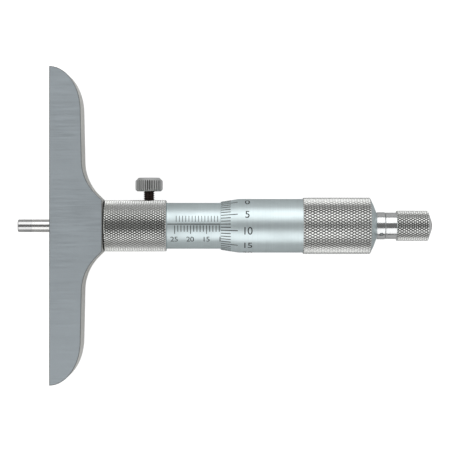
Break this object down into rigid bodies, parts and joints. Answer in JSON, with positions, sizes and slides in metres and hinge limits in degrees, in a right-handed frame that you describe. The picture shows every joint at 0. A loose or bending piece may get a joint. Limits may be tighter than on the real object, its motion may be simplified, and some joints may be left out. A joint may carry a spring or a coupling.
{
  "type": "depth micrometer",
  "caption": "Depth micrometer: bell-shaped base, knurled hub with clamp screw, graduated sleeve and thimble, thin measuring rod and knurled ratchet knob.",
  "frame": {"origin": "where the rod's axis crosses the measuring face of the base", "axes": "+X along the rod's axis towards the ratchet knob, +Y along the base on the clamp screw's side, +Z out of the broad face that the scale looks to"},
  "size_m": [0.1312, 0.1, 0.0178],
  "materials": {
    "base_steel": "hardened steel, fine-ground and satin",
    "knurled_steel": "diamond knurled, satin chrome plated",
    "satin_chrome": "satin chrome plated, with black engraved lines and figures",
    "bright_chrome": "bright chrome plated",
    "ground_steel": "hardened steel, ground",
    "hard_metal": "hard metal, lapped",
    "plain_steel": "turned steel",
    "spring_steel": "drawn wire",
    "browned_steel": "browned black-oxide steel",
    "bronze": "reamed bronze",
    "brass": "turned brass"
  },
  "bodies": {
    "frame": {"base": "base_steel", "hub": "knurled_steel", "guide_bush": "bronze", "inner_sleeve": "plain_steel", "adjusting_nut": "plain_steel", "outer_sleeve": "satin_chrome"},
    "rod": {"spindle": "ground_steel", "measuring_tip": "hard_metal"},
    "thimble_group": {"thimble": "satin_chrome", "ratchet_body": "bright_chrome", "fixed_ratchet": "plain_steel", "ratchet_end_screw": "browned_steel"},
    "ratchet_group": {"ratchet_knob": "bright_chrome", "sliding_ratchet": "plain_steel", "ratchet_spring": "spring_steel"},
    "clamp_plug": {"clamp_pad": "brass"},
    "clamp_group": {"clamp_screw": "browned_steel", "clamp_knob": "knurled_steel"}
  },
  "joints": [
    {"name": "rod_travel", "type": "slide", "parent": "frame", "child": "rod", "axis": [-1, 0, 0], "range_m": [-0.01058, 0.01442]},
    {"name": "thimble_turn", "type": "hinge", "parent": "rod", "child": "thimble_group", "pos_m": [0.06, 0, 0], "axis": [-1, 0, 0], "range_deg": [-7618, 10383]},
    {"name": "ratchet_turn", "type": "hinge", "parent": "thimble_group", "child": "ratchet_group", "pos_m": [0.11, 0, 0], "axis": [-1, 0, 0], "continuous": true},
    {"name": "clamp_travel", "type": "slide", "parent": "frame", "child": "clamp_plug", "axis": [0, -1, 0], "range_m": [-0.0006, 0.0002]},
    {"name": "clamp_turn", "type": "hinge", "parent": "clamp_plug", "child": "clamp_group", "pos_m": [0.03095, 0.01, 0], "axis": [0, -1, 0], "range_deg": [-360.5, 120.5]}
  ],
  "couplings": [
    {"joint": "thimble_turn", "follows": "rod_travel", "rad_per_m": 12566},
    {"joint": "clamp_turn", "follows": "clamp_travel", "rad_per_m": 10472}
  ]
}
